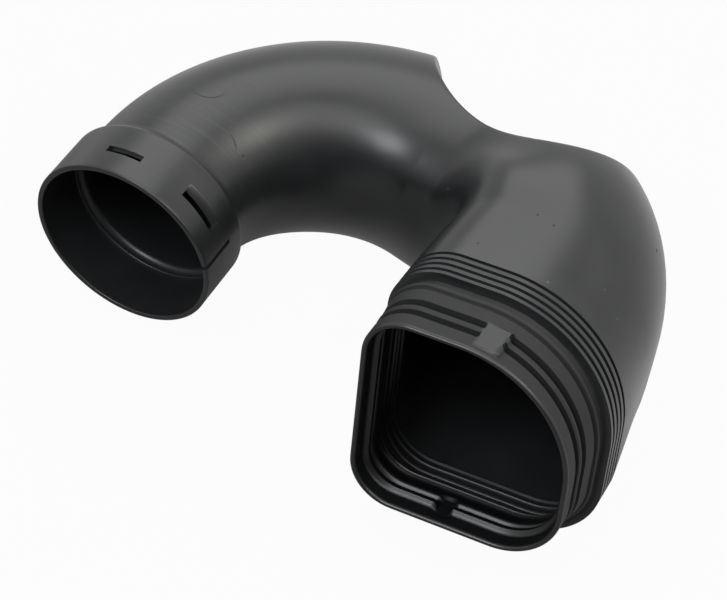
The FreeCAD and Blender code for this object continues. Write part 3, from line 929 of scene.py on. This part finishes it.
# %% World
BACKDROP_WAY = (118.0, 35.0)
ROOM_DARK, ROOM_BRIGHT = -0.55, 0.2
ROOM_LEVEL = 0.06
FILL_LEVEL = 0.5
world = bpy.data.worlds.new("white_studio")
bpy.context.scene.world = world
world.use_nodes = True
room = world.node_tree
look = add(room, "ShaderNodeTexCoord").outputs["Generated"]
facing = add(room, "ShaderNodeVectorMath", {0: look, 1: direction(*BACKDROP_WAY)}, operation="DOT_PRODUCT")
backdrop = add(room, "ShaderNodeMapRange", {"Value": facing.outputs["Value"], "From Min": ROOM_DARK,
                                            "From Max": ROOM_BRIGHT, "To Min": ROOM_LEVEL, "To Max": 1.0},
               interpolation_type="SMOOTHSTEP").outputs["Result"]
fill = add(room, "ShaderNodeMath", {0: backdrop, 1: FILL_LEVEL}, operation="MULTIPLY").outputs[0]
lit = add(room, "ShaderNodeMix", {0: seen_rays(room, ["Is Glossy Ray"]), 2: fill, 3: backdrop},
          data_type="FLOAT")
level = add(room, "ShaderNodeMix", {0: seen_rays(room, ["Is Camera Ray", "Is Transmission Ray"]),
                                    2: lit.outputs[0], 3: 1.0}, data_type="FLOAT")
room.links.new(level.outputs[0], room.nodes["Background"].inputs["Strength"])
room.nodes["Background"].inputs["Color"].default_value = linear("#ffffff")
print("world", world.name)

# %% [markdown]
# ## Lamps
# Two soft lamps hang to the left and to the right, and each gives one sheen on a bend. A large one
# stands at the back and a weaker one hangs overhead. A single wide lamp would be simpler, but it turns
# the inner bend grey, and in the photograph that is nearly black.

# %% Soft lamps
# A lamp has its heading and rise in degrees, its distance and size in metres, its watts and its colour.
LAMPS = {
    "left_softbox": (-112, 54, 1.2, 0.5, 7.6, "#f6f8ff"),
    "right_softbox": (16, 54, 1.2, 0.5, 4.4, "#fffdf2"),
    "back_softbox": (114, 50, 1.25, 0.9, 5.0, "#ffffff"),
    "overhead": (-45, 74, 1.2, 0.8, 3.4, "#ffffff"),
}
LAMP_AIM = Vector((0, 0, 0.05))


def soft_lamp(name, heading, rise, distance, size, watts, colour):
    """Square soft lamp at a heading and a rise from the hose, looking at it."""
    light = bpy.data.lights.new(name, "AREA")
    light.size = size
    light.energy = watts
    light.color = linear(colour)[:3]
    lamp = bpy.data.objects.new(name, light)
    bpy.context.scene.collection.objects.link(lamp)
    away = Vector(direction(heading, rise))
    lamp.location = away * distance + LAMP_AIM
    lamp.rotation_euler = away.to_track_quat("Z", "Y").to_euler()


for name, facts in LAMPS.items():
    soft_lamp(name, *facts)
print("lamps", ", ".join(LAMPS))

# %% [markdown]
# ## Camera
# The photograph looks down on the hose at about 47 degrees, a little from the right, from about 0.9 m.
# The focal length follows from the scale at the aim point, and the frame is 727 by 600 pixels.

# %% Camera
VIEW_TURN = 28.1
VIEW_RISE = 47.4
VIEW_DISTANCE = 900.0
VIEW_AIM = np.array([117.1, -1.5, 27.0])
PIXELS_PER_MM = 2.51
FRAME_WIDTH = 727
SENSOR_WIDTH = 36.0
turn, rise = math.radians(VIEW_TURN), math.radians(VIEW_RISE)
right = np.array([math.cos(turn), math.sin(turn), 0.0])
back = np.array([math.sin(turn) * math.cos(rise), -math.cos(turn) * math.cos(rise), math.sin(rise)])
over = np.cross(back, right)
photo_lens = bpy.data.cameras.new("photo_camera")
photo_lens.sensor_width = SENSOR_WIDTH
photo_lens.lens = SENSOR_WIDTH * PIXELS_PER_MM * VIEW_DISTANCE / FRAME_WIDTH
camera = bpy.data.objects.new("photo_camera", photo_lens)
bpy.context.scene.collection.objects.link(camera)
axes = Matrix((right, over, back)).transposed()
stand = Vector(placed((VIEW_AIM + back * VIEW_DISTANCE)[None])[0])
camera.matrix_world = Matrix.Translation(stand) @ (REST_TURN @ axes).to_4x4()
bpy.context.scene.camera = camera
bpy.context.scene.view_settings.view_transform = "Standard"
print("lens", round(photo_lens.lens, 1), "mm")
